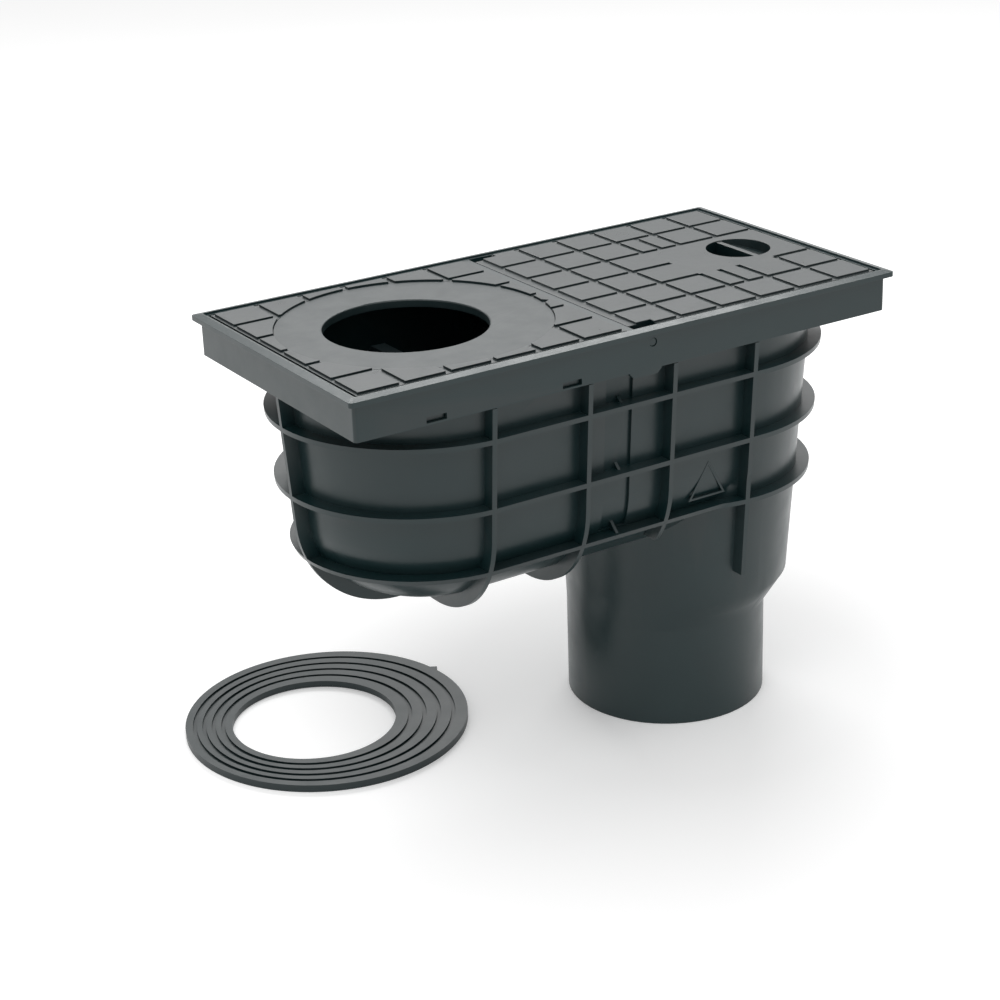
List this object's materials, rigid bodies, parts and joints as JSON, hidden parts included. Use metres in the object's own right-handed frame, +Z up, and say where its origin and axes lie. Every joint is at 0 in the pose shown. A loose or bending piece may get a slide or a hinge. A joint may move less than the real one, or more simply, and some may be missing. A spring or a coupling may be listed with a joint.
{
  "type": "downpipe gully",
  "caption": "Ribbed plastic downpipe gully with a tiled cover, a bored reducer ring, a hinged inspection cover, a leaf basket, an odour flap and an outlet spigot.",
  "frame": {"origin": "centre of the outlet spigot's lower end", "axes": "+Z up out of the downpipe inlet, +X along the frame away from the downpipe"},
  "size_m": [0.3471, 0.2296, 0.2444],
  "materials": {
    "body_plastic": "moulded satin",
    "frame_plastic": "moulded satin",
    "cover_plastic": "fine moulded texture",
    "ring_plastic": "moulded satin",
    "inner_plastic": "moulded satin",
    "seal_rubber": "matte",
    "pin_steel": "drawn"
  },
  "bodies": {
    "gully": {"gully_body": "body_plastic", "top_frame": "frame_plastic", "downpipe_cover": "cover_plastic", "reducer_ring": "ring_plastic", "spare_reducer_ring": "ring_plastic", "cover_hinge_pins": "frame_plastic", "leaf_basket": "inner_plastic", "flap_frame": "inner_plastic", "flap_seal": "seal_rubber", "flap_hinge_pin": "pin_steel"},
    "inspection_lid": {"inspection_cover": "cover_plastic"},
    "flap": {"odour_flap": "inner_plastic"}
  },
  "joints": [
    {"name": "cover_hinge", "type": "hinge", "parent": "gully", "child": "inspection_lid", "pos_m": [-0.065, 0, 0.236], "axis": [0, -1, 0], "range_deg": [0, 90]},
    {"name": "flap_hinge", "type": "hinge", "parent": "gully", "child": "flap", "pos_m": [-0.0746, 0, 0.194], "axis": [0, -1, 0], "range_deg": [0, 60]}
  ]
}
